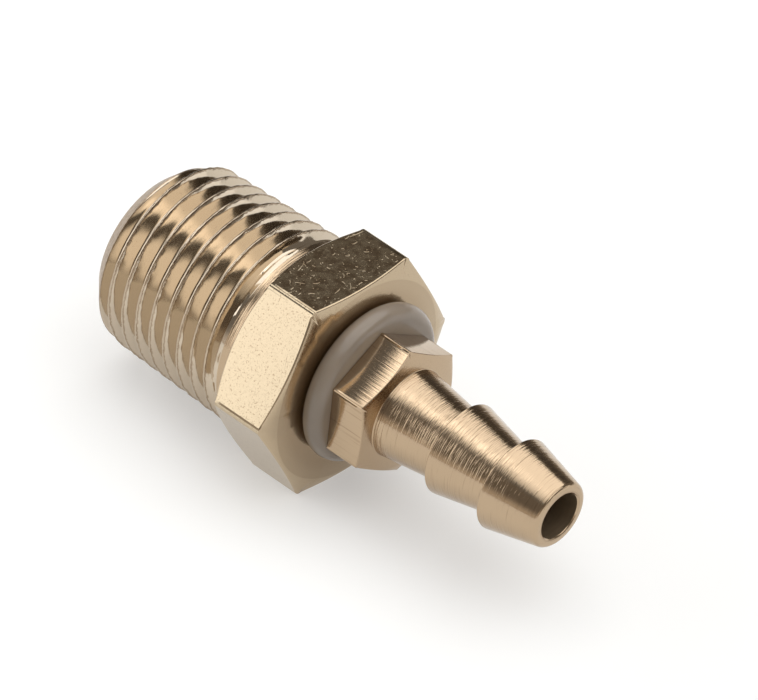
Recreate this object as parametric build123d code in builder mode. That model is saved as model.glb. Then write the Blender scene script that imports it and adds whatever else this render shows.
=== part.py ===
from build123d import *
from math import atan, ceil, degrees, radians, sqrt, tan
import os

# Barbed hose tail screwed into a taper-threaded bush, with a sealing washer clamped between them.
# Millimetres. The common axis is X, from the centre of the bush's threaded end face to the tail's tip.
# The bush's hexagon has one flat facing down, which is how the fitting lies on a bench.

# Bush: male taper pipe thread, 27 turns to the inch, diameter growing 1 in 16
thread_pitch = 0.9407
thread_major_d = 9.80
thread_taper = 1 / 16
thread_length = 9.70
thread_start_d = 7.62
thread_flank_angle = 30
crest_flat = 0.07 * thread_pitch
root_flat = 0.06 * thread_pitch
top_root_place = 0.097
groove_lift = 0.04
washout_length = 0.73
washout_angle = 45
neck_length = 0.72
neck_step_length = 0.30
neck_ledge = 0.455
neck_flare = 0.12

# Bush: hexagon for a 7/16 in spanner, turned back at both faces
bush_across_flats = 11.11
bush_hex_length = 3.74
bush_edge_round = 0.12
front_turn_angle = 18
rear_turn_angle = 30
turned_face_margin = 0.17
blank_oversize = 1.05

# Bush: passage from the threaded end, and the tapped hole that takes the tail's stud
passage_d = 4.00
tapped_depth = 5.00
stud_clearance = 0.015
hole_chamfer = 0.25

# Sealing washer: flat faces and a fully rounded rim, loose on the stud and so clamped off centre
washer_thickness = 1.20
washer_rim_d = 8.42
washer_stud_clearance = 0.24
washer_rest_gap = 0.01
washer_lean_angle = 43

# Tail: stud, hexagon for a 1/4 in spanner, and a stem of three cones
stud_d = 4.80
stud_engagement = 4.20
stud_chamfer = 0.35
tail_across_flats = 6.22
tail_hex_length = 2.06
tail_hex_turn = 29
tail_edge_round = 0.06
tail_turn_angle = 20
tail_face_margin = 0.06
base_d = 4.67
base_cone_length = 3.46
base_waist_d = 3.76
middle_cone_length = 3.35
middle_waist_d = 3.48
tip_cone_length = 3.09
tip_d = 3.42
barb_d = 4.86
barb_edge_break = 0.05
tip_round = 0.22
tail_bore_d = 2.45
tail_bore_chamfer = 0.06

# Places along the axis
hex_rear = thread_length
hex_front = hex_rear + bush_hex_length
tail_hex_rear = hex_front + washer_thickness
tail_hex_front = tail_hex_rear + tail_hex_length
middle_barb = tail_hex_front + base_cone_length
tip_barb = middle_barb + middle_cone_length
tip = tip_barb + tip_cone_length
stud_end = hex_front - stud_engagement
neck_start = thread_length - neck_length
washout_start = neck_start - washout_length
neck_d = bush_across_flats - 2 * (turned_face_margin + neck_ledge)
place_tolerance = 0.001


def corner_radius(across_flats):
    """The distance from a hexagon's axis to its corners."""
    return across_flats / sqrt(3)


def turned_blank(start, end, across_flats, margin, start_angle, end_angle):
    """A lathe-turned blank whose conical ends cut the corners of a hexagon."""
    face = across_flats / 2 - margin
    rim = corner_radius(across_flats) * blank_oversize
    start_run = (rim - face) * tan(radians(start_angle))
    end_run = (rim - face) * tan(radians(end_angle))
    with BuildSketch(Plane.XZ) as blank:
        with BuildLine():
            Polyline(
                (start, 0),
                (start, face),
                (start + start_run, rim),
                (end - end_run, rim),
                (end, face),
                (end, 0),
                close=True,
            )
        make_face()
    return blank.sketch


def crest_radius(place):
    """The taper thread's radius over its crests at a place along the axis."""
    return (thread_major_d + place * thread_taper) / 2


# Washout cone, where the thread fades before the neck; its small end lies deep under the groove
thread_depth = (thread_pitch - crest_flat - root_flat) / 2 / tan(radians(thread_flank_angle))
washout_root = crest_radius(washout_start) - thread_depth
washout_slope = tan(radians(washout_angle))
turn_reach = 2 * thread_pitch
washout_run = washout_length + turn_reach
with BuildPart() as washout_cone:
    with BuildSketch(Plane.XZ):
        with BuildLine():
            Polyline(
                (washout_start - thread_depth, 0),
                (washout_start - thread_depth, washout_root - thread_depth * washout_slope),
                (washout_start + washout_run, washout_root + washout_run * washout_slope),
                (washout_start + washout_run, 0),
                close=True,
            )
        make_face()
    revolve(axis=Axis.X)


def groove_turn(place):
    """One turn of the V groove, swept along the tapered helix from the top spoke at a place on the axis."""
    root_half = root_flat / 2
    top_half = root_half + (thread_depth + groove_lift) * tan(radians(thread_flank_angle))
    with BuildPart() as turn:
        with BuildLine() as turn_path:
            Helix(
                pitch=thread_pitch,
                height=thread_pitch,
                radius=crest_radius(place),
                center=(place, 0, 0),
                direction=(1, 0, 0),
                cone_angle=degrees(atan(thread_taper / 2)),
            )
        with BuildSketch(Plane(origin=turn_path.line @ 0, x_dir=(1, 0, 0), z_dir=(0, -1, 0))):
            with BuildLine():
                Polyline(
                    (-root_half, -thread_depth),
                    (-top_half, groove_lift),
                    (top_half, groove_lift),
                    (root_half, -thread_depth),
                    close=True,
                )
            make_face()
        sweep(path=turn_path.line, is_frenet=True)
        if place + turn_reach > washout_start:
            add(washout_cone.part, mode=Mode.SUBTRACT)
    return turn.part


# Bush's hexagon
with BuildPart() as bush_hexagon:
    with BuildSketch(Plane.YZ.offset(hex_rear)):
        RegularPolygon(bush_across_flats / 2, 6, major_radius=False)
    extrude(amount=bush_hex_length)
    fillet(bush_hexagon.edges().filter_by(Axis.X), bush_edge_round)
    hex_blank = turned_blank(
        hex_rear, hex_front, bush_across_flats, turned_face_margin, rear_turn_angle, front_turn_angle
    )
    revolve(hex_blank, axis=Axis.X, mode=Mode.INTERSECT)

# Threaded bush
with BuildPart() as threaded_bush:
    # Taper over the thread's crests, turned down at its start and at the neck before the hexagon
    start_run = crest_radius(0) - thread_start_d / 2
    with BuildSketch(Plane.XZ):
        with BuildLine():
            Polyline(
                (0, 0),
                (0, thread_start_d / 2),
                (start_run, crest_radius(start_run)),
                (neck_start - neck_step_length, crest_radius(neck_start - neck_step_length)),
                (neck_start, neck_d / 2),
                (hex_rear, neck_d / 2),
                (hex_rear, 0),
                close=True,
            )
        make_face()
    revolve(axis=Axis.X)

    # Thread, cut turn by turn from just off the end face until the washout
    first_root = top_root_place - thread_pitch
    for turn_number in range(ceil((neck_start - first_root) / thread_pitch)):
        add(groove_turn(first_root + turn_number * thread_pitch), mode=Mode.SUBTRACT)

    # Hexagon, with a small flare round the neck's end
    add(bush_hexagon.part)
    chamfer(
        threaded_bush.edges()
        .filter_by(GeomType.CIRCLE)
        .filter_by_position(Axis.X, hex_rear - place_tolerance, hex_rear + place_tolerance)
        .sort_by(SortBy.RADIUS)[0],
        neck_flare,
    )

    # Passage and tapped hole
    tapped_d = stud_d + 2 * stud_clearance
    with BuildSketch(Plane.XZ):
        with BuildLine():
            Polyline(
                (0, 0),
                (0, passage_d / 2),
                (hex_front - tapped_depth, passage_d / 2),
                (hex_front - tapped_depth, tapped_d / 2),
                (hex_front - hole_chamfer, tapped_d / 2),
                (hex_front, tapped_d / 2 + hole_chamfer),
                (hex_front, 0),
                close=True,
            )
        make_face()
    revolve(axis=Axis.X, mode=Mode.SUBTRACT)

# Sealing washer, resting to one side on the stud as its loose hole allows
washer_inner = stud_d / 2 + washer_stud_clearance
rim_middle = (washer_rim_d - washer_thickness) / 2
lean = Vector(0, washer_stud_clearance - washer_rest_gap, 0).rotate(Axis.X, washer_lean_angle)
washer_centre = Vector(hex_front + washer_thickness / 2, 0, 0) + lean
with BuildPart() as sealing_washer:
    with BuildSketch(Plane(origin=washer_centre, x_dir=(1, 0, 0), z_dir=(0, -1, 0))):
        with Locations((0, (washer_inner + rim_middle) / 2)):
            Rectangle(washer_thickness, rim_middle - washer_inner)
        with Locations((0, rim_middle)):
            Circle(washer_thickness / 2)
    revolve(axis=Axis(washer_centre, (1, 0, 0)))

# Hose tail
with BuildPart() as hose_tail:
    with BuildSketch(Plane.YZ.offset(tail_hex_rear)):
        RegularPolygon(tail_across_flats / 2, 6, major_radius=False, rotation=tail_hex_turn)
    extrude(amount=tail_hex_length)
    fillet(hose_tail.edges().filter_by(Axis.X), tail_edge_round)
    tail_blank = turned_blank(
        tail_hex_rear, tail_hex_front, tail_across_flats, tail_face_margin, 0, tail_turn_angle
    )
    revolve(tail_blank, axis=Axis.X, mode=Mode.INTERSECT)

    # Stud with a chamfered end
    with BuildSketch(Plane.YZ.offset(stud_end)):
        Circle(stud_d / 2)
    extrude(amount=tail_hex_rear - stud_end)
    chamfer(hose_tail.edges().group_by(Axis.X)[0], stud_chamfer)

    # Stem of three cones, each standing proud of the next one's waist
    with BuildSketch(Plane.XZ):
        with BuildLine():
            Polyline(
                (tail_hex_front, 0),
                (tail_hex_front, base_d / 2),
                (middle_barb, base_waist_d / 2),
                (middle_barb, barb_d / 2),
                (tip_barb, middle_waist_d / 2),
                (tip_barb, barb_d / 2),
                (tip, tip_d / 2),
                (tip, 0),
                close=True,
            )
        make_face()
    revolve(axis=Axis.X)
    for barb_place in (middle_barb, tip_barb):
        chamfer(
            hose_tail.edges()
            .filter_by(GeomType.CIRCLE)
            .filter_by_position(Axis.X, barb_place - place_tolerance, barb_place + place_tolerance)
            .sort_by(SortBy.RADIUS)[-1],
            barb_edge_break,
        )
    fillet(hose_tail.edges().group_by(Axis.X)[-1], tip_round)

    # Bore right through
    with BuildSketch(Plane.YZ.offset(stud_end)):
        Circle(tail_bore_d / 2)
    extrude(amount=tip - stud_end, mode=Mode.SUBTRACT)
    chamfer(
        hose_tail.edges().filter_by(GeomType.CIRCLE).group_by(Axis.X)[-1].sort_by(SortBy.RADIUS)[0],
        tail_bore_chamfer,
    )

os.makedirs("parts", exist_ok=True)
threaded_bush.part.label = "threaded_bush"
sealing_washer.part.label = "sealing_washer"
hose_tail.part.label = "hose_tail"
export_step(threaded_bush.part, "parts/threaded_bush.step")
export_step(sealing_washer.part, "parts/sealing_washer.step")
export_step(hose_tail.part, "parts/hose_tail.step")
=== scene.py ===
"""Barbed hose tail screwed into a taper-threaded bush: the visual model, built round the CAD frame."""

from math import atan2, cos, hypot, pi, radians, sin, tan
from types import SimpleNamespace

import bmesh
import bpy
from bpy.props import FloatProperty, FloatVectorProperty, PointerProperty
from mathutils import Matrix, Vector, noise


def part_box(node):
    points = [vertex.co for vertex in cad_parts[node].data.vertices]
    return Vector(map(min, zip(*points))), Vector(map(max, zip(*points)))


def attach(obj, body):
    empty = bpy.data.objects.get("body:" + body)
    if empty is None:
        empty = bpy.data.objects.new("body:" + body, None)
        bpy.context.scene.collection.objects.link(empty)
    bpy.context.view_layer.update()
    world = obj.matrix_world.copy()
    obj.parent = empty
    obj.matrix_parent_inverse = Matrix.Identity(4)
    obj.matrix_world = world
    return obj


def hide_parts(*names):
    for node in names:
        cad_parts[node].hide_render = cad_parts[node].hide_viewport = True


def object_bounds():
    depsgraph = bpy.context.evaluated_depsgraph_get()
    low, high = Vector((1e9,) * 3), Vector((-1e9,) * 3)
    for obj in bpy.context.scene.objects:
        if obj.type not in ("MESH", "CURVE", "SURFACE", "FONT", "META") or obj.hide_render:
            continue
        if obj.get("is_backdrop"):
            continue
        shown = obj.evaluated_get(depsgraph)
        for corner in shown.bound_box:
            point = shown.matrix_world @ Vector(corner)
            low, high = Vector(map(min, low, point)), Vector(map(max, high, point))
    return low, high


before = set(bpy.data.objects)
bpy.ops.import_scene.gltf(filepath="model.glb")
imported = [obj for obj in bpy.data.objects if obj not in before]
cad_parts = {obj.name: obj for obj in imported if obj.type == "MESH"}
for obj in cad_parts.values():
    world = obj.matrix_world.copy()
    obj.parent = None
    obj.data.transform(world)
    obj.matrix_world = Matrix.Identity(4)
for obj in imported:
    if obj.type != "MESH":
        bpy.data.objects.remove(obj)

bl_info = {
    "name": "Hose barb tail",
    "version": (1, 0, 0),
    "blender": (4, 5, 0),
    "location": "View3D > Sidebar > Fitting",
    "description": "Turned brass hose tail, plastic sealing washer and taper-threaded hexagon bush",
    "category": "Object",
}

MM = 0.001
BUSH_LOW, BUSH_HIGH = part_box("threaded_bush")
WASHER_LOW, WASHER_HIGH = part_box("sealing_washer")
TAIL_LOW, TAIL_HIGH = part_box("hose_tail")

# Modelling, in millimetres and radians
SPOKES = 180  # in a full turn, a multiple of six so that they meet the hexagons' corners
WASHER_SPOKES = 144
TAPER = 1 / 16  # growth of the thread's diameter along the axis
CREST_SPOKE = radians(132.9)  # the spoke, from +Y towards +Z, on which the first crest's place is given
RING_INSET = 0.3  # how far in from its ends a hexagon's blank is widest, before it is milled
SHARP = radians(38)  # edges that turn by more than this stay crisp
NEAR = 1e-3  # places closer than this are the same


def length(name, mm, description):
    return FloatProperty(
        name=name, description=description, default=mm * MM, min=0, unit="LENGTH", precision=5
    )


def slope(name, angle, description):
    return FloatProperty(
        name=name, description=description, default=radians(angle), min=0, max=pi / 2, subtype="ANGLE"
    )


def share(name, value, description):
    return FloatProperty(name=name, description=description, default=value, min=0, max=1, subtype="FACTOR")


def brightness(name, value, description):
    return FloatProperty(name=name, description=description, default=value, min=0, max=4)


def colour(name, value, description):
    return FloatVectorProperty(
        name=name, description=description, default=value, min=0, max=1, size=3, subtype="COLOR"
    )


class BushSizes(bpy.types.PropertyGroup):
    pitch: length("Thread pitch", 0.9407, "Distance from one thread crest to the next")
    depth: length("Thread depth", 0.71, "Height of the crests over the roots")
    crest_flat: share("Crest flat", 0.09, "Width of the crest's flat as a share of the pitch")
    root_flat: share("Root flat", 0.06, "Width of the root's flat as a share of the pitch")
    crest_start: length("First crest", 1.62, "Place of the first full crest on the upper left side")
    major: length("Thread diameter", 9.80, "Diameter over the crests at the threaded end")
    start: length("Start diameter", 7.62, "Diameter where the lead-in chamfer meets the end face")
    neck: length("Neck diameter", 9.86, "Diameter of the plain neck between thread and hexagon")
    neck_fillet: length("Neck fillet", 0.16, "Rounding where the neck meets the hexagon")
    washout: length("Washout start", 8.25, "Distance from the threaded end to where the roots fade")
    step: length("Neck step", 0.30, "Length of the cone that steps the last crest down to the neck")
    neck_start: length("Neck start", 8.98, "Distance from the threaded end to the plain neck")
    hex_start: length("Hexagon start", 9.70, "Distance from the threaded end to the hexagon")
    hex_end: length("Hexagon end", BUSH_HIGH.x / MM, "Distance from the threaded end to the front face")
    flats: length("Across flats", (BUSH_HIGH.z - BUSH_LOW.z) / MM, "Hexagon's width over two flats")
    margin: length("Turned margin", 0.17, "Distance from a flat in to the turned face's edge")
    rear_slope: slope("Rear slope", 30, "Slope that turns back the hexagon's rear corners")
    front_slope: slope("Front slope", 18, "Slope that turns back the hexagon's front corners")
    corner: length("Corner rounding", 0.14, "Rounding of the hexagon's long edges")
    edge: length("Edge rounding", 0.08, "Rounding of the hexagon's end edges")
    bore: length("Passage diameter", 4.00, "Diameter of the passage from the threaded end")
    tapped: length("Tapped hole diameter", 4.83, "Diameter of the hole that takes the tail's stud")
    tapped_start: length("Tapped hole start", 8.44, "Distance from the threaded end to the tapped hole")
    chamfer: length("Hole chamfer", 0.25, "Chamfer at the mouths of the passage and the tapped hole")
    ragged: length("Crest raggedness", 0.026, "How far the thread's crests are torn")


class WasherSizes(bpy.types.PropertyGroup):
    thickness: length("Thickness", (WASHER_HIGH.x - WASHER_LOW.x) / MM, "Washer's thickness")
    rim: length("Rim diameter", (WASHER_HIGH.y - WASHER_LOW.y) / MM, "Washer's outside diameter")
    hole: length("Hole diameter", 5.28, "Washer's hole, loose on the stud")
    hole_rounding: length("Hole rounding", 0.08, "Rounding of the hole's edges")


class TailSizes(bpy.types.PropertyGroup):
    stud: length("Stud diameter", 4.80, "Diameter of the stud inside the bush")
    stud_chamfer: length("Stud chamfer", 0.35, "Chamfer on the stud's end")
    hex_start: length("Hexagon start", 14.64, "Distance from the origin to the hexagon's rear face")
    hex_end: length("Hexagon end", 16.70, "Distance from the origin to the hexagon's front face")
    flats: length("Across flats", 6.22, "Hexagon's width over two flats")
    turn: slope("Hexagon turn", 29, "Turn of the hexagon against the bush's")
    margin: length("Turned margin", 0.06, "Distance from a flat in to the turned face's edge")
    front_slope: slope("Front slope", 20, "Slope that turns back the hexagon's front corners")
    corner: length("Corner rounding", 0.05, "Rounding of the hexagon's long edges")
    edge: length("Edge rounding", 0.03, "Rounding of the hexagon's end edges")
    base: length("Base diameter", 4.67, "Stem's diameter at the hexagon")
    base_fillet: length("Base fillet", 0.05, "Rounding where the stem meets the hexagon")
    middle: length("Middle barb", 20.16, "Distance from the origin to the middle barb")
    waist_1: length("Base cone's small end", 3.76, "Diameter before the middle barb")
    last: length("Tip barb", 23.51, "Distance from the origin to the tip barb")
    waist_2: length("Middle cone's small end", 3.48, "Diameter before the tip barb")
    waist_fillet: length("Waist fillet", 0.04, "Rounding where a cone's small end meets the next barb")
    tip: length("Tip", TAIL_HIGH.x / MM, "Distance from the origin to the tip")
    tip_diameter: length("Tip diameter", 3.42, "Tip cone's small end")
    barb: length("Barb diameter", 4.86, "Diameter over the barbs")
    barb_rounding: length("Barb rounding", 0.07, "Rounding of the barbs' edges")
    tip_rounding: length("Tip rounding", 0.22, "Rounding of the tip's outer edge")
    bore: length("Bore diameter", 2.45, "Diameter of the bore right through")
    bore_chamfer: length("Bore chamfer", 0.06, "Chamfer at the bore's mouth")


class Finishes(bpy.types.PropertyGroup):
    brass: colour("Turned brass", (0.475, 0.355, 0.235), "Colour of the hose tail and the neck")
    bar: colour("Bar brass", (0.505, 0.41, 0.282), "Colour of the large hexagon's flats")
    faced: colour("Faced brass", (0.495, 0.39, 0.265), "Colour of the bush's turned faces")
    # A paler copy of the brass for the thread, painted lighter to stand in for the light that the flanks
    # mirror to each other
    pale: colour("Thread brass", (0.575, 0.487, 0.378), "Colour of the thread, which mirrors itself")
    # Brown for real specks and dull metal, and also for the painted shade next to the thread's crests
    tarnish_and_shade: colour("Tarnish", (0.22, 0.14, 0.075), "Colour of specks and of the dull metal in grooves")
    drilled: colour("Drilled brass", (0.32, 0.235, 0.15), "Colour of the dull metal in the bores")
    drilled_dark: colour("Drilled lines", (0.22, 0.16, 0.10), "Colour of the drill's lines in the bores")
    polish: share("Polish roughness", 0.14, "Roughness of the smoothest brass")
    washer: colour("Washer", (0.31, 0.255, 0.20), "Colour of the milky plastic")
    washer_cloud: share("Washer's cloud", 0.84, "Brightness of the plastic's darker clouds")


class StageLight(bpy.types.PropertyGroup):
    overhead: brightness("Overhead softbox", 1.85, "Brightness of the softbox over the object")
    hot_spot: brightness("Hot spot", 1.1, "What is added over the threaded end")
    side: brightness("Side softbox", 1.95, "Brightness of the left softbox")
    reflector: brightness("Reflector", 1.3, "Brightness of the low card in front of the tip")
    room: brightness("Room", 0.21, "Brightness of the dim room around")
    back: brightness("Dark card", 0.09, "Brightness of the dark card behind the object")
    world: brightness("World", 0.5, "Brightness of the world where it isn't seen")
    dim: colour("Dim colour", (1.0, 0.90, 0.80), "Colour of the room and the dark card")
    lift: brightness("Floor lift", 0.38, "Brightness added to the floor where it is seen")
    floor: colour("Floor", (0.63, 0.63, 0.62), "Colour of the floor")


GROUPS = {
    "bush_sizes": BushSizes,
    "washer_sizes": WasherSizes,
    "tail_sizes": TailSizes,
    "finishes": Finishes,
    "stage_light": StageLight,
}


def values_of(group):
    """The properties that the group itself declares."""
    return [prop for prop in group.bl_rna.properties if prop.identifier not in ("rna_type", "name")]


def in_mm(group):
    """A group's lengths in millimetres, and its other values as they are."""
    values = {}
    for prop in values_of(group):
        value = getattr(group, prop.identifier)
        values[prop.identifier] = value / MM if prop.unit == "LENGTH" else value
    return SimpleNamespace(**values)


# Turning, milling and threading


def round_off(bm, geom, width, segments, affect="VERTICES", **more):
    bmesh.ops.bevel(
        bm,
        geom=geom,
        offset=width,
        offset_type="OFFSET",
        segments=segments,
        profile=0.5,
        affect=affect,
        material=-1,
        **more,
    )


def outline(bm, points, spoke=0.0, closed=False, segments=5):
    """A wire of (x, radius, rounding) points on one spoke; each rounding bevels its corner."""
    out = Vector((0, cos(spoke), sin(spoke)))
    verts = [bm.verts.new(Vector((x, 0, 0)) + out * radius) for x, radius, _ in points]
    ends = verts[1:] + verts[:1] if closed else verts[1:]
    for pair in zip(verts, ends):
        bm.edges.new(pair)
    for vert, (_, _, rounding) in zip(verts, points):
        if rounding:
            round_off(bm, [vert], rounding, segments)


def turn_round(bm, steps=SPOKES, pitch=0.0):
    """Spins all of the wire once about the X axis, as a screw where a pitch is given."""
    bmesh.ops.spin(
        bm,
        geom=bm.verts[:] + bm.edges[:],
        cent=(0, 0, 0),
        axis=(1, 0, 0),
        dvec=(pitch / steps, 0, 0),
        angle=2 * pi,
        steps=steps,
        use_merge=not pitch,
    )


def radius_of(vert):
    return hypot(vert.co.y, vert.co.z)


def set_radius(vert, radius):
    scale = radius / radius_of(vert)
    vert.co.y *= scale
    vert.co.z *= scale


def corner_radius(flats):
    """The distance from a hexagon's axis to its corners."""
    return flats / 2 / cos(pi / 6)


def mill_hexagon(bm, flats, turn, ends):
    """Draws the blank's widest rings in to a hexagon. ends holds (face x, face radius, slope, +1 or -1)."""
    ring = [v for v in bm.verts if radius_of(v) > corner_radius(flats) - NEAR]
    middle = sum(x for x, *_ in ends) / 2
    for v in ring:
        from_flat = (atan2(v.co.z, v.co.y) - turn) % (pi / 3) - pi / 6
        radius = flats / 2 / cos(from_flat)
        x, face, angle, way = ends[0] if v.co.x < middle else ends[1]
        v.co.x = x + way * (radius - face) * tan(angle)
        set_radius(v, radius)
    return ring


def round_hexagon(bm, ring, flats, corner, edge):
    """Rounds the long edges between the flats, and the edges where the turned ends meet the flats."""
    rim = set(ring)
    at_corner = corner_radius(flats) - 0.01
    long_edges, end_edges = [], []
    for e in bm.edges:
        a, b = e.verts
        if a in rim and b in rim:
            if abs(a.co.x - b.co.x) < e.calc_length() / 2:
                end_edges.append(e)
            elif radius_of(a) > at_corner:
                long_edges.append(e)
    for edges, width in ((long_edges, corner), (end_edges, edge)):
        left = [e for e in edges if e.is_valid]
        round_off(bm, left, width, 5, "EDGES", loop_slide=True, clamp_overlap=True)


def smooth_step(low, high, value):
    t = min(1.0, max(0.0, (value - low) / (high - low)))
    return t * t * (3 - 2 * t)


def crest_radius(s, x):
    """The taper thread's radius over its crests at x."""
    return (s.major + x * TAPER) / 2


def thread_profile(s, crest):
    """One pitch of the thread before it is tapered, as outline points round the crest's place."""
    crest_half, root_half = s.pitch * s.crest_flat / 2, s.pitch * s.root_flat / 2
    crest_rounding, root_rounding = 0.02, 0.035
    flank = s.pitch / 2 - crest_half - root_half
    rising = [(s.pitch / 2, s.depth, 0), (s.pitch / 2 - root_half, s.depth, root_rounding)]
    for height in (0.12, 0.4, 0.7, 0.94):
        rising.append((crest_half + flank * (1 - height), s.depth * (1 - height), 0))
    rising.append((crest_half, 0, crest_rounding))
    top = s.major / 2
    before = [(crest - along, top - down, rounding) for along, down, rounding in rising]
    after = [(crest + along, top - down, rounding) for along, down, rounding in reversed(rising)]
    return before + after


def fit_to_blank(v, s):
    """Takes one vertex of the even thread to the taper, tears the crest and turns down both ends."""
    torn_height, torn_shift = 0.12, 0.014
    groove, groove_half, groove_depth = s.neck_start - 0.07, 0.09, 0.05
    x, r = v.co.x, radius_of(v)
    near_crest = smooth_step(s.major / 2 - torn_height, s.major / 2, r)
    torn = noise.noise(v.co * 2.6) + 0.7 * noise.noise(v.co * 8.0)
    r += x * TAPER / 2 - near_crest * s.ragged * (0.6 + torn)
    lead_in = s.start / 2 + x
    r = min(r, lead_in)
    if x > s.washout:
        r = max(r, crest_radius(s, s.washout) - s.depth + x - s.washout)
    step_start = s.neck_start - s.step
    if x > step_start:
        down = min(1.0, (x - step_start) / s.step)
        r = min(r, crest_radius(s, step_start) * (1 - down) + s.neck / 2 * down)
        r -= groove_depth * smooth_step(groove_half, 0.0, abs(x - groove))
    set_radius(v, r)
    v.co.x += near_crest * torn_shift * noise.noise(v.co * 5.0 + Vector((7, 0, 0)))


def cut_thread(bm, s, seam):
    """The taper thread's surface from the end face to the seam with the neck."""
    turns, turns_before = 12, 3
    first = s.crest_start - turns_before * s.pitch
    outline(bm, thread_profile(s, first), spoke=CREST_SPOKE, segments=3)
    turn_round(bm, pitch=s.pitch)
    one_turn = bm.verts[:] + bm.edges[:] + bm.faces[:]
    for turn in range(1, turns):
        copy = bmesh.ops.duplicate(bm, geom=one_turn)["geom"]
        verts = [part for part in copy if isinstance(part, bmesh.types.BMVert)]
        bmesh.ops.translate(bm, vec=(turn * s.pitch, 0, 0), verts=verts)
    bmesh.ops.remove_doubles(bm, verts=bm.verts[:], dist=NEAR)
    for v in bm.verts:
        fit_to_blank(v, s)
    for place, kept_way in ((0.0, 1), (seam, -1)):
        bmesh.ops.bisect_plane(
            bm,
            geom=bm.verts[:] + bm.edges[:] + bm.faces[:],
            dist=1e-5,
            plane_co=(place, 0, 0),
            plane_no=(kept_way, 0, 0),
            clear_inner=True,
        )


def close_step(bm, x):
    """Fills the flat ring between the two open edges at x."""
    rim = [e for e in bm.edges if e.is_boundary and all(abs(v.co.x - x) < NEAR for v in e.verts)]
    bmesh.ops.triangle_fill(bm, edges=rim, use_beauty=True, use_dissolve=False, normal=(1, 0, 0))


def join_meshes(bm, other):
    """Adds a second bmesh's geometry to the first."""
    holder = bpy.data.meshes.new("holder")
    other.to_mesh(holder)
    other.free()
    bm.from_mesh(holder)
    bpy.data.meshes.remove(holder)


def finish_piece(bm, name, materials, pick, node):
    """Makes the object: metres, outward faces, crisp edges marked, a material for each face by its key."""
    bmesh.ops.remove_doubles(bm, verts=bm.verts[:], dist=NEAR / 10)
    bmesh.ops.recalc_face_normals(bm, faces=bm.faces[:])
    order = {key: index for index, key in enumerate(materials)}
    for f in bm.faces:
        f.smooth = True
        f.material_index = order[pick(f)]
    for e in bm.edges:
        if len(e.link_faces) != 2:
            raise RuntimeError(f"{name} is open near {e.verts[0].co}")
        e.smooth = e.calc_face_angle(0) < SHARP
    bmesh.ops.scale(bm, vec=(MM, MM, MM), verts=bm.verts[:])
    mesh = bpy.data.meshes.new(name)
    bm.to_mesh(mesh)
    bm.free()
    for material in materials.values():
        mesh.materials.append(material)
    piece = bpy.data.objects.new(name, mesh)
    bpy.context.scene.collection.objects.link(piece)
    even = piece.modifiers.new("even_flats", "WEIGHTED_NORMAL")
    even.keep_sharp = True
    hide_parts(node)
    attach(piece, "root")
    return piece


# Materials


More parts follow.
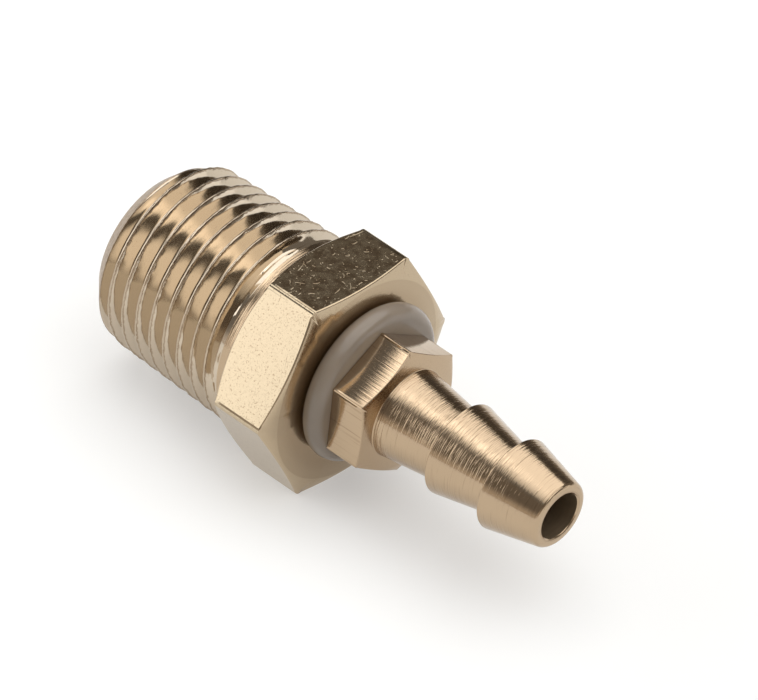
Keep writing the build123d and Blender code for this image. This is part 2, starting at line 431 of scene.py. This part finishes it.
class Nodes:
    """Adds nodes to one node tree, with numbers and sockets as inputs alike."""

    def __init__(self, tree):
        self.tree = tree
        tree.nodes.clear()

    def add(self, kind, settings=None, **inputs):
        node = self.tree.nodes.new(kind)
        for key, value in (settings or {}).items():
            setattr(node, key, value)
        for key, value in inputs.items():
            self.put(node.inputs[key.replace("_", " ")], value)
        return node

    def put(self, socket, value):
        if isinstance(value, bpy.types.NodeSocket):
            self.tree.links.new(value, socket)
        else:
            socket.default_value = value

    def surface(self, shader, kind="ShaderNodeOutputMaterial"):
        """Ends the tree in this shader."""
        out = self.add(kind)
        self.tree.links.new(shader.outputs[0], out.inputs["Surface"])

    def calc(self, operation, *values):
        node = self.tree.nodes.new("ShaderNodeMath")
        node.operation = operation
        for socket, value in zip(node.inputs, values):
            self.put(socket, value)
        return node.outputs[0]

    def chain(self, operation, values):
        total = values[0]
        for value in values[1:]:
            total = self.calc(operation, total, value)
        return total

    def product(self, *values):
        return self.chain("MULTIPLY", values)

    def sum(self, *values):
        return self.chain("ADD", values)

    def largest(self, *values):
        return self.chain("MAXIMUM", values)

    def vector(self, operation, *values):
        node = self.tree.nodes.new("ShaderNodeVectorMath")
        node.operation = operation
        for socket, value in zip(node.inputs, values):
            self.put(socket, value)
        return node.outputs["Value" if operation in ("DOT_PRODUCT", "LENGTH") else "Vector"]

    def ramp(self, value, low, high, to_low=0.0, to_high=1.0):
        """value's way from low to high, smoothed and held at both ends."""
        node = self.add("ShaderNodeMapRange", {"interpolation_type": "SMOOTHSTEP"})
        inputs = {"Value": value, "From Min": low, "From Max": high, "To Min": to_low, "To Max": to_high}
        for key, number in inputs.items():
            self.put(node.inputs[key], number)
        return node.outputs["Result"]

    def mix(self, factor, first, second):
        """A colour between two others."""
        node = self.tree.nodes.new("ShaderNodeMix")
        node.data_type = "RGBA"
        self.put(node.inputs[0], factor)
        for socket, value in ((node.inputs[6], first), (node.inputs[7], second)):
            self.put(socket, (*value, 1.0))
        return node.outputs[2]

    def coordinates(self):
        return self.add("ShaderNodeTexCoord").outputs["Object"]

    def stretched(self, coordinates, sizes_mm, offset=(0.0, 0.0, 0.0)):
        """Coordinates in which one unit is this many millimetres along X, Y and Z."""
        scale = [1 / (MM * size) for size in sizes_mm]
        return self.add("ShaderNodeMapping", Vector=coordinates, Scale=scale, Location=offset).outputs[0]

    def grain(self, coordinates, sizes_mm, detail=2.0, roughness=0.55, offset=(0.0, 0.0, 0.0)):
        """Even noise from 0 to 1, with grains of about these sizes."""
        vector = self.stretched(coordinates, sizes_mm, offset)
        node = self.add("ShaderNodeTexNoise", Vector=vector, Scale=1.0, Detail=detail, Roughness=roughness)
        return node.outputs[0]

    def parts(self, vector):
        return self.add("ShaderNodeSeparateXYZ", Vector=vector).outputs

    def polar(self, around_mm):
        """Coordinates along the axis, round it on a circle of this radius, and out from it."""
        x, y, z = self.parts(self.coordinates())
        way_round = self.product(self.calc("ARCTAN2", y, z), around_mm * MM)
        away = self.calc("SQRT", self.sum(self.product(y, y), self.product(z, z)))
        return self.add("ShaderNodeCombineXYZ", X=x, Y=way_round, Z=away).outputs[0]

    def scratches(self, place, cell, long, thin, bend, few, seed):
        """1 on a short bent line in some of the cells. place is in metres, the sizes are in millimetres."""
        spot = self.stretched(place, (cell, cell, cell), (seed, seed * 1.7, 0))
        flat = {"voronoi_dimensions": "2D"}
        near = self.add("ShaderNodeTexVoronoi", flat, Vector=spot, Scale=1.0, Randomness=1.0)
        x, y, _ = self.parts(self.vector("SUBTRACT", spot, near.outputs["Position"]))
        chance, turn, size = self.parts(near.outputs["Color"])
        angle = self.product(turn, 2 * pi)
        cosine, sine = self.calc("COSINE", angle), self.calc("SINE", angle)
        along = self.sum(self.product(x, cosine), self.product(y, sine))
        across = self.calc("SUBTRACT", self.product(y, cosine), self.product(x, sine))
        across = self.sum(across, self.product(along, along, bend))
        line = self.ramp(self.calc("ABSOLUTE", across), thin / cell * 0.3, thin / cell, 1.0, 0.0)
        reach = self.product(self.sum(size, 0.4), long / cell)
        ends = self.ramp(self.calc("DIVIDE", self.calc("ABSOLUTE", along), reach), 0.3, 0.55, 1.0, 0.0)
        return self.product(line, ends, self.ramp(chance, few, few + 0.25))

    def bump(self, height, microns):
        return self.add("ShaderNodeBump", Height=height, Distance=microns * 1e-6, Strength=1.0).outputs[0]


def new_material(name):
    material = bpy.data.materials.new(name)
    material.use_nodes = True
    return material, Nodes(material.node_tree)


def brass_surface(n, bright, finishes, darkening, roughness, normal):
    """Bright metal, browned where darkening is 1: by real specks and wear, and by painted shade next to the
    thread's crests.
    """
    shader = n.add(
        "ShaderNodeBsdfPrincipled",
        Base_Color=n.mix(darkening, bright, finishes.tarnish_and_shade),
        Metallic=1.0,
        Roughness=roughness,
        Normal=normal,
    )
    n.surface(shader)


def turned_brass(finishes):
    """Stem and neck: fine and coarse turning lines round the axis."""
    material, n = new_material("brass_turned")
    where = n.coordinates()
    fine = n.grain(where, (0.062, 1.8, 1.8), detail=1.0)
    line = n.grain(where, (0.13, 2.2, 2.2), detail=3.0, roughness=0.7, offset=(3.0, 1.0, 2.0))
    broad = n.grain(where, (0.5, 4.0, 4.0), detail=1.0)
    normal = n.bump(n.sum(line, n.product(fine, 0.8)), 17.0)
    roughness = n.sum(n.ramp(line, 0.3, 0.7, 0.08, 0.16), n.ramp(broad, 0.3, 0.7, 0.0, 0.04))
    darkening = n.ramp(fine, 0.58, 0.75, 0.0, 0.35)
    brass_surface(n, finishes.brass, finishes, darkening, roughness, normal)
    return material


def thread_brass(finishes, s):
    """Thread: polished flanks, torn crests with painted shade in a dark line on either side, and a few
    specks.
    """
    material, n = new_material("brass_thread")
    where = n.coordinates()
    place = n.polar(s.major / 2)
    x, way_round, away = n.parts(place)
    turns_along = n.calc("DIVIDE", x, s.pitch * MM)
    turns_round = n.calc("DIVIDE", way_round, pi * s.major * MM)
    first_crest = (CREST_SPOKE - pi / 2) / (2 * pi) - s.crest_start / s.pitch
    tear = n.grain(place, (0.10, 0.22, 0.15), detail=3.0, roughness=0.7)
    line = n.grain(place, (0.10, 1.6, 0.10), detail=1.0)
    wave = n.grain(where, (1.1, 0.9, 0.9), detail=1.0)
    speck = n.grain(where, (0.12, 0.12, 0.12))
    # Bands next to the crest, by the distance from it in pitches; the dark band just off the crest is
    # painted shade
    from_crest = n.calc("PINGPONG", n.sum(turns_along, turns_round, first_crest), 0.5)
    from_crest = n.sum(from_crest, n.ramp(tear, 0.25, 0.75, -0.03, 0.03))
    crest = n.ramp(from_crest, 0.03, 0.065, 1.0, 0.0)
    painted_shade_band = n.product(n.ramp(from_crest, 0.045, 0.06), n.ramp(from_crest, 0.07, 0.10, 1.0, 0.0))
    scuff = n.product(n.ramp(from_crest, 0.0, 0.045, 1.0, 0.0), n.ramp(tear, 0.50, 0.66))
    # Lead-in chamfer, where the surface lies no more than a hair under the cone
    under_cone = n.calc("SUBTRACT", x, n.calc("SUBTRACT", away, s.start / 2 * MM))
    lead_in = n.ramp(under_cone, 0.05 * MM, 0.10 * MM, 1.0, 0.0)
    height = n.sum(
        n.product(line, 0.35), n.product(wave, 7.0), n.product(crest, tear, 3.5), n.product(painted_shade_band, -1.5)
    )
    roughness = n.sum(
        n.ramp(speck, 0.4, 0.75, finishes.polish * 0.6, finishes.polish),
        n.product(crest, 0.08),
        n.product(lead_in, 0.28),
    )
    # The band just off each crest darkens by painted shade; the specks, torn crests, scuffs and lead-in are
    # real
    darkening = n.largest(
        n.ramp(speck, 0.68, 0.80, 0.0, 0.45),
        n.sum(n.product(crest, 0.3), n.product(painted_shade_band, n.ramp(tear, 0.3, 0.7, 0.5, 1.0))),
        n.product(scuff, 0.8),
        n.product(lead_in, n.ramp(tear, 0.3, 0.7, 0.45, 0.95)),
    )
    # The thread's paler brass is painted light
    brass_surface(n, finishes.pale, finishes, darkening, roughness, n.bump(height, 1.5))
    return material


def bar_brass(finishes):
    """Large hexagon's flats: bar stock, finely pitted, with bent scratches, deepest on the top flat."""
    material, n = new_material("brass_bar")
    where = n.coordinates()
    around = 5.9
    place = n.polar(around)
    from_top = n.calc("ABSOLUTE", n.parts(place)[1])
    on_top = n.ramp(from_top, radians(27) * around * MM, radians(31) * around * MM, 1.0, 0.0)
    pits = n.grain(where, (0.09, 0.09, 0.09), roughness=0.6)
    mottle = n.grain(where, (0.5, 0.5, 0.5))
    peel = n.grain(where, (0.16, 0.13, 0.16), detail=3.0, roughness=0.7)
    short = n.scratches(place, cell=0.45, long=0.28, thin=0.034, bend=0.7, few=0.55, seed=3.0)
    long = n.scratches(place, cell=1.3, long=0.9, thin=0.03, bend=0.25, few=0.4, seed=11.0)
    dots = n.scratches(place, cell=0.32, long=0.06, thin=0.035, bend=0.0, few=0.58, seed=7.0)
    marks = n.product(n.largest(short, long, dots), n.ramp(on_top, 0, 1, 0.12, 1.0))
    orange_peel = n.product(n.ramp(peel, 0.5, 0.8), on_top)
    height = n.sum(
        n.product(pits, 0.35), n.product(mottle, 0.8), n.product(marks, -4.0), n.product(orange_peel, 2.5)
    )
    roughness = n.sum(n.ramp(pits, 0.35, 0.7, 0.08, 0.16), n.product(marks, 0.35))
    cloudy = n.product(n.ramp(mottle, 0.35, 0.6, 0.6, 0.0), on_top)
    darkening = n.largest(n.ramp(pits, 0.57, 0.70, 0.0, 0.5), cloudy)
    brass_surface(n, finishes.bar, finishes, darkening, roughness, n.bump(height, 1.2))
    return material


def drawn_brass(finishes):
    """Small hexagon's flats: drawn bar with lines along the axis."""
    material, n = new_material("brass_drawn")
    where = n.coordinates()
    line = n.grain(where, (7.0, 0.11, 0.11), detail=3.0, roughness=0.7)
    pits = n.grain(where, (0.12, 0.09, 0.09))
    normal = n.bump(n.sum(line, n.product(pits, 0.12)), 5.0)
    roughness = n.ramp(pits, 0.3, 0.7, 0.05, 0.11)
    darkening = n.ramp(line, 0.56, 0.70, 0.0, 0.5)
    brass_surface(n, finishes.brass, finishes, darkening, roughness, normal)
    return material


def faced_brass(name, finishes, bright, dull_mm):
    """Turned end faces: very fine rings round the axis, darker inside a radius."""
    material, n = new_material(name)
    place = n.polar(4.0)
    ring = n.grain(place, (1.0, 5.0, 0.09))
    speck = n.grain(n.coordinates(), (0.12, 0.12, 0.12))
    normal = n.bump(n.sum(ring, n.product(speck, 0.3)), 1.6)
    roughness = n.ramp(speck, 0.3, 0.75, 0.16, 0.26)
    radius = n.parts(place)[2]
    # Darker inside the given radius, and darker still further towards the middle
    dull = n.sum(
        n.ramp(radius, (dull_mm - 0.03) * MM, (dull_mm + 0.01) * MM, 0.24, 0.0),
        n.ramp(radius, (dull_mm - 1.0) * MM, (dull_mm - 0.2) * MM, 0.16, 0.0),
    )
    darkening = n.largest(n.ramp(speck, 0.66, 0.8, 0.0, 0.4), dull)
    brass_surface(n, bright, finishes, darkening, roughness, normal)
    return material


def bore_brass(finishes):
    """Drilled bores: dull, dark metal."""
    material, n = new_material("brass_bore")
    line = n.grain(n.coordinates(), (0.15, 1.0, 1.0))
    shader = n.add(
        "ShaderNodeBsdfPrincipled",
        Base_Color=n.mix(line, finishes.drilled_dark, finishes.drilled),
        Metallic=0.7,
        Roughness=0.5,
        Normal=n.bump(line, 3.0),
    )
    n.surface(shader)
    return material


def washer_plastic(finishes):
    """Milky plastic that lets a little light in."""
    material, n = new_material("washer_plastic")
    where = n.coordinates()
    cloud = n.grain(where, (1.2, 1.2, 1.2))
    skin = n.grain(where, (0.25, 0.25, 0.25))
    darker = [finishes.washer_cloud * part for part in finishes.washer]
    shader = n.add(
        "ShaderNodeBsdfPrincipled",
        Base_Color=n.mix(cloud, darker, finishes.washer),
        Roughness=n.ramp(skin, 0.3, 0.7, 0.16, 0.26),
        IOR=1.5,
        Normal=n.bump(skin, 1.0),
        Subsurface_Weight=0.4,
        Subsurface_Radius=(1.0, 0.85, 0.7),
        Subsurface_Scale=0.7 * MM,
    )
    n.surface(shader)
    return material


# Pieces


class FITTING_OT_bush(bpy.types.Operator):
    """Make the threaded hexagon bush"""

    bl_idname = "fitting.bush"
    bl_label = "Make threaded bush"

    def execute(self, context):
        s, finishes = in_mm(context.scene.bush_sizes), context.scene.finishes
        face, widest = s.flats / 2 - s.margin, corner_radius(s.flats)
        seam = s.neck_start - 0.03
        end_face = s.start / 2 - 0.06
        bm = bmesh.new()
        points = [
            (seam, s.neck / 2 + 0.01, 0),
            (s.neck_start, s.neck / 2, 0),
            (s.hex_start, s.neck / 2, s.neck_fillet),
            (s.hex_start, face, 0),
            (s.hex_start + RING_INSET, widest, 0),
            (s.hex_end - RING_INSET, widest, 0),
            (s.hex_end, face, 0),
            (s.hex_end, s.tapped / 2 + s.chamfer, 0),
            (s.hex_end - s.chamfer, s.tapped / 2, 0),
            (s.tapped_start, s.tapped / 2, 0),
            (s.tapped_start, s.bore / 2, 0),
            (s.chamfer, s.bore / 2, 0),
            (0.0, s.bore / 2 + s.chamfer, 0),
            (0.0, end_face, 0),
        ]
        outline(bm, points)
        turn_round(bm)
        ends = [(s.hex_start, face, s.rear_slope, 1), (s.hex_end, face, s.front_slope, -1)]
        ring = mill_hexagon(bm, s.flats, 0.0, ends)
        round_hexagon(bm, ring, s.flats, s.corner, s.edge)
        thread = bmesh.new()
        cut_thread(thread, s, seam)
        join_meshes(bm, thread)
        close_step(bm, 0.0)
        close_step(bm, seam)

        def pick(f):
            at = f.calc_center_median()
            r = hypot(at.y, at.z)
            past_mouth = at.x > s.chamfer + 0.05
            if r < s.tapped / 2 + 0.02 and past_mouth:
                return "bores"
            if at.x < s.neck_start + 0.01:
                return "thread" if r > end_face - 0.14 or past_mouth else "faces"
            if r > face and abs(f.normal.x) < 0.2:
                return "flats"
            return "neck" if at.x < s.hex_start - 0.01 else "faces"

        materials = {
            "thread": thread_brass(finishes, s),
            "flats": bar_brass(finishes),
            "faces": faced_brass("brass_faced_bush", finishes, finishes.faced, face),
            "neck": turned_brass(finishes),
            "bores": bore_brass(finishes),
        }
        finish_piece(bm, "threaded_bush_visual", materials, pick, "threaded_bush")
        return {"FINISHED"}


class FITTING_OT_washer(bpy.types.Operator):
    """Make the sealing washer"""

    bl_idname = "fitting.washer"
    bl_label = "Make sealing washer"

    def execute(self, context):
        s = in_mm(context.scene.washer_sizes)
        rear = WASHER_LOW.x / MM
        rim_rounding = s.thickness / 2 * 0.98
        bm = bmesh.new()
        points = [
            (rear, s.hole / 2, s.hole_rounding),
            (rear, s.rim / 2, 0),
            (rear + s.thickness, s.rim / 2, 0),
            (rear + s.thickness, s.hole / 2, s.hole_rounding),
        ]
        outline(bm, points, closed=True)
        outer = [v for v in bm.verts if radius_of(v) > s.rim / 2 - NEAR]
        round_off(bm, outer, rim_rounding, 9)
        turn_round(bm, WASHER_SPOKES)
        middle = (WASHER_LOW + WASHER_HIGH) / 2 / MM
        bmesh.ops.translate(bm, vec=(0, middle.y, middle.z), verts=bm.verts[:])

        def pick(f):
            return "plastic"

        materials = {"plastic": washer_plastic(context.scene.finishes)}
        finish_piece(bm, "sealing_washer_visual", materials, pick, "sealing_washer")
        return {"FINISHED"}


class FITTING_OT_tail(bpy.types.Operator):
    """Make the barbed hose tail"""

    bl_idname = "fitting.tail"
    bl_label = "Make hose tail"

    def execute(self, context):
        s, finishes = in_mm(context.scene.tail_sizes), context.scene.finishes
        rear = TAIL_LOW.x / MM
        face, widest = s.flats / 2 - s.margin, corner_radius(s.flats)
        bm = bmesh.new()
        points = [
            (rear, s.bore / 2, 0),
            (rear, s.stud / 2 - s.stud_chamfer, 0),
            (rear + s.stud_chamfer, s.stud / 2, 0),
            (s.hex_start, s.stud / 2, 0),
            (s.hex_start, widest, 0),
            (s.hex_end - RING_INSET, widest, 0),
            (s.hex_end, face, 0),
            (s.hex_end, s.base / 2, s.base_fillet),
            (s.middle, s.waist_1 / 2, s.waist_fillet),
            (s.middle, s.barb / 2, s.barb_rounding),
            (s.last, s.waist_2 / 2, s.waist_fillet),
            (s.last, s.barb / 2, s.barb_rounding),
            (s.tip, s.tip_diameter / 2, s.tip_rounding),
            (s.tip, s.bore / 2 + s.bore_chamfer, 0),
            (s.tip - s.bore_chamfer, s.bore / 2, 0),
        ]
        outline(bm, points, spoke=s.turn, closed=True)
        turn_round(bm)
        ends = [(s.hex_start, face, 0.0, 1), (s.hex_end, face, s.front_slope, -1)]
        ring = mill_hexagon(bm, s.flats, s.turn, ends)
        round_hexagon(bm, ring, s.flats, s.corner, s.edge)

        def pick(f):
            at = f.calc_center_median()
            r = hypot(at.y, at.z)
            if r < s.bore / 2 + 0.01:
                return "bore"
            if s.hex_start - 0.01 < at.x < s.hex_end + 0.01 and r > s.base / 2 - 0.1:
                return "flats" if abs(f.normal.x) < 0.2 else "faces"
            return "stem" if at.x < s.tip - 0.02 else "faces"

        materials = {
            "stem": turned_brass(finishes),
            "flats": drawn_brass(finishes),
            "faces": faced_brass("brass_faced_tail", finishes, finishes.brass, s.bore / 2 + 0.15),
            "bore": bore_brass(finishes),
        }
        finish_piece(bm, "hose_tail_visual", materials, pick, "hose_tail")
        return {"FINISHED"}


# Stage, in metres and radians

ROOM_RADIUS = 1.6
OVERHEAD_MIDDLE = Vector((0.45, 0.29, 1.0))
OVERHEAD_RADIUS = 1.25
HOT_SPOT = Vector((-0.47, -0.13, 1.0))
SIDE_AZIMUTH = radians(210)
SIDE_SIZE = (0.245, 0.170)
SIDE_DISTANCE = 0.130
SIDE_EDGE_ANGLE = radians(37.3)
REFLECTOR_AZIMUTH = radians(33)
REFLECTOR_SIZE = (0.28, 0.076)
REFLECTOR_DISTANCE = 0.35
CARD_AZIMUTH = radians(120)
CARD_SIZE = (1.35, 1.04)
CARD_DISTANCE = 1.2
LENS_MM = 451.464
SENSOR_MM = 36


def stage_object(name, bm, material, seen=False):
    mesh = bpy.data.meshes.new(name)
    bm.to_mesh(mesh)
    bm.free()
    mesh.materials.append(material)
    thing = bpy.data.objects.new(name, mesh)
    bpy.context.scene.collection.objects.link(thing)
    thing.visible_camera = seen
    thing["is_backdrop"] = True
    return thing


def glow(name, strength_of, tint=(1.0, 1.0, 1.0)):
    """A material that only glows. strength_of makes its brightness from the node helper."""
    material, n = new_material(name)
    n.surface(n.add("ShaderNodeEmission", Color=(*tint, 1), Strength=strength_of(n)))
    return material


def glowing_card(name, middle, outwards, size, material):
    """A flat upright card whose face looks back along the outward way."""
    bm = bmesh.new()
    bmesh.ops.create_grid(bm, x_segments=4, y_segments=4, size=0.5)
    bmesh.ops.scale(bm, vec=(*size, 1), verts=bm.verts[:])
    turn = outwards.to_track_quat("-Z", "Y").to_matrix().to_4x4()
    bmesh.ops.transform(bm, matrix=Matrix.Translation(middle) @ turn, verts=bm.verts[:])
    return stage_object(name, bm, material)


def level_way(azimuth):
    return Vector((cos(azimuth), sin(azimuth), 0))


def white_where_seen(n):
    """1 for camera, glossy and transmission rays, which show the white ground."""
    path = n.add("ShaderNodeLightPath")
    seen = n.sum(*(path.outputs[f"Is {kind} Ray"] for kind in ("Camera", "Glossy", "Transmission")))
    return n.calc("MINIMUM", seen, 1.0)


def make_floor(light, ground):
    """A grey floor that takes the shadow, lifted to white where it is seen."""
    just_under = 0.02 * MM
    bm = bmesh.new()
    bmesh.ops.create_circle(bm, cap_ends=True, radius=ROOM_RADIUS, segments=64)
    bmesh.ops.translate(bm, vec=(0, 0, ground - just_under), verts=bm.verts[:])
    material, n = new_material("floor")
    diffuse = n.add("ShaderNodeBsdfDiffuse", Color=(*light.floor, 1))
    lift = n.product(white_where_seen(n), light.lift)
    lift = n.add("ShaderNodeEmission", Color=(1, 1, 1, 1), Strength=lift)
    both = n.add("ShaderNodeAddShader")
    n.put(both.inputs[0], diffuse.outputs[0])
    n.put(both.inputs[1], lift.outputs[0])
    n.surface(both)
    stage_object("floor", bm, material, seen=True)


def make_room(light):
    """A dim ball round the stage, lighter near the floor in front."""
    bm = bmesh.new()
    bmesh.ops.create_icosphere(bm, subdivisions=3, radius=ROOM_RADIUS)
    bmesh.ops.reverse_faces(bm, faces=bm.faces[:])

    def level(n):
        _, y, z = n.parts(n.coordinates())
        low_front = n.product(n.ramp(z, 0.05, 0.60, 1.0, 0.0), n.ramp(y, -0.5, 0.0, 1.0, 0.0))
        return n.product(n.sum(1.0, n.product(low_front, 2.2)), light.room)

    stage_object("room", bm, glow("room", level, light.dim))


def make_overhead(light):
    """A round softbox overhead: sharp at the left and behind, fading to the front, with a hot spot."""
    bm = bmesh.new()
    bmesh.ops.create_circle(bm, cap_ends=True, radius=OVERHEAD_RADIUS, segments=96)
    bmesh.ops.translate(bm, vec=OVERHEAD_MIDDLE, verts=bm.verts[:])

    def level(n):
        place = n.coordinates()
        away = n.vector("LENGTH", n.vector("SUBTRACT", place, OVERHEAD_MIDDLE))
        from_spot = n.vector("LENGTH", n.vector("SUBTRACT", place, HOT_SPOT))
        inside = n.ramp(away, 1.045, 1.135, 1.0, 0.0)
        front = n.ramp(n.parts(place)[1], -1.05, -0.05, 0.15, 1.0)
        spot = n.ramp(from_spot, 0.08, 0.40, light.hot_spot, 0.0)
        lit = n.product(n.sum(n.product(front, light.overhead), spot), inside)
        return n.sum(lit, n.product(n.calc("SUBTRACT", 1.0, inside), light.room))

    stage_object("overhead_softbox", bm, glow("overhead_softbox", level))


def make_side(light, ground):
    """A softbox on the left, out of view, fading at its right edge, its top and the floor."""
    outwards = level_way(SIDE_AZIMUTH)
    right = level_way(SIDE_AZIMUTH + pi / 2)
    lit_point = Vector((5 * MM, 0, 0))
    edge = lit_point + (outwards + right * tan(SIDE_EDGE_ANGLE)) * SIDE_DISTANCE

    def level(n):
        place = n.coordinates()
        height = n.parts(place)[2]
        from_edge = n.vector("DOT_PRODUCT", n.vector("SUBTRACT", edge, place), right)
        across = n.calc("MINIMUM", n.largest(n.calc("DIVIDE", from_edge, 0.016), 0.0), 1.0)
        across = n.sum(n.product(across, 0.58), 0.42)
        inside = n.ramp(height, 0.105, 0.16, 1.0, 0.0)
        lit = n.product(across, inside, n.ramp(height, -0.01, 0.024, 0.65, 1.0), light.side)
        return n.sum(lit, n.product(n.calc("SUBTRACT", 1.0, inside), light.room))

    width, height = SIDE_SIZE
    middle = edge - right * width / 2 + Vector((0, 0, ground + height / 2 + MM))
    glowing_card("side_softbox", middle, outwards, SIDE_SIZE, glow("side_softbox", level))


def make_reflector(light):
    """A low card in front of the tip, which the thread's flanks mirror."""
    outwards = level_way(REFLECTOR_AZIMUTH)
    middle = outwards * REFLECTOR_DISTANCE + Vector((0, 0, 0.034))
    card = glow("reflector", lambda n: light.reflector)
    glowing_card("reflector", middle, outwards, REFLECTOR_SIZE, card)


def make_dark_card(light):
    """A dark card behind the object, fading down to the floor's grey."""
    outwards = level_way(CARD_AZIMUTH)

    def level(n):
        height = n.parts(n.coordinates())[2]
        low = n.ramp(height, 0.0, 0.45, light.room * 1.5, light.back)
        return n.sum(low, n.ramp(height, 0.75, 1.05, 0.0, light.back))

    middle = outwards * CARD_DISTANCE + Vector((0, 0, 0.5))
    glowing_card("dark_card", middle, outwards, CARD_SIZE, glow("dark_card", level, light.dim))


def make_world(scene, light):
    """A white world where it is seen, and a plain one elsewhere."""
    world = bpy.data.worlds.new("studio")
    world.use_nodes = True
    n = Nodes(world.node_tree)
    strength = n.ramp(white_where_seen(n), 0, 1, light.world, 1.0)
    n.surface(n.add("ShaderNodeBackground", Color=(1, 1, 1, 1), Strength=strength), "ShaderNodeOutputWorld")
    scene.world = world
    scene.view_settings.view_transform = "Standard"


def make_camera(scene):
    """A long lens from above, in front and to the right."""
    place = Vector((0.237641, -0.263109, 0.286088))
    right = Vector((0.71925, 0.69067, 0.07518))
    down = Vector((0.48290, -0.41919, -0.76882))
    ahead = Vector((-0.49949, 0.58928, -0.63502))
    data = bpy.data.cameras.new("camera")
    data.sensor_width = SENSOR_MM
    data.lens = LENS_MM
    data.clip_start, data.clip_end = 0.01, 10
    camera = bpy.data.objects.new("camera", data)
    scene.collection.objects.link(camera)
    axes = Matrix((right, -down, -ahead)).transposed()
    camera.matrix_world = Matrix.Translation(place) @ axes.to_4x4()
    scene.camera = camera


class FITTING_OT_stage(bpy.types.Operator):
    """Make the floor, the softboxes, the room, the white world and the camera"""

    bl_idname = "fitting.stage"
    bl_label = "Make stage"

    def execute(self, context):
        light = context.scene.stage_light
        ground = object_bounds()[0].z
        make_floor(light, ground)
        make_room(light)
        make_overhead(light)
        make_side(light, ground)
        make_reflector(light)
        make_dark_card(light)
        make_world(context.scene, light)
        make_camera(context.scene)
        return {"FINISHED"}


class FITTING_PT_panel(bpy.types.Panel):
    """Sizes, finishes and the buttons that make the pieces"""

    bl_label = "Hose barb tail"
    bl_idname = "FITTING_PT_panel"
    bl_space_type = "VIEW_3D"
    bl_region_type = "UI"
    bl_category = "Fitting"

    def draw(self, context):
        for operator, group in BUTTONS.items():
            box = self.layout.box()
            settings = getattr(context.scene, group)
            for prop in values_of(settings):
                box.prop(settings, prop.identifier)
            box.operator(operator)
        finishes = context.scene.finishes
        for prop in values_of(finishes):
            self.layout.prop(finishes, prop.identifier)


BUTTONS = {
    "fitting.stage": "stage_light",
    "fitting.bush": "bush_sizes",
    "fitting.washer": "washer_sizes",
    "fitting.tail": "tail_sizes",
}
CLASSES = (
    *GROUPS.values(),
    FITTING_OT_stage,
    FITTING_OT_bush,
    FITTING_OT_washer,
    FITTING_OT_tail,
    FITTING_PT_panel,
)


def register():
    for cls in CLASSES:
        bpy.utils.register_class(cls)
    for name, cls in GROUPS.items():
        setattr(bpy.types.Scene, name, PointerProperty(type=cls))


def unregister():
    for name in GROUPS:
        delattr(bpy.types.Scene, name)
    for cls in reversed(CLASSES):
        bpy.utils.unregister_class(cls)


def main():
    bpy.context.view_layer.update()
    register()
    bpy.ops.fitting.stage()
    bpy.ops.fitting.bush()
    bpy.ops.fitting.washer()
    bpy.ops.fitting.tail()


if __name__ == "__main__":
    main()
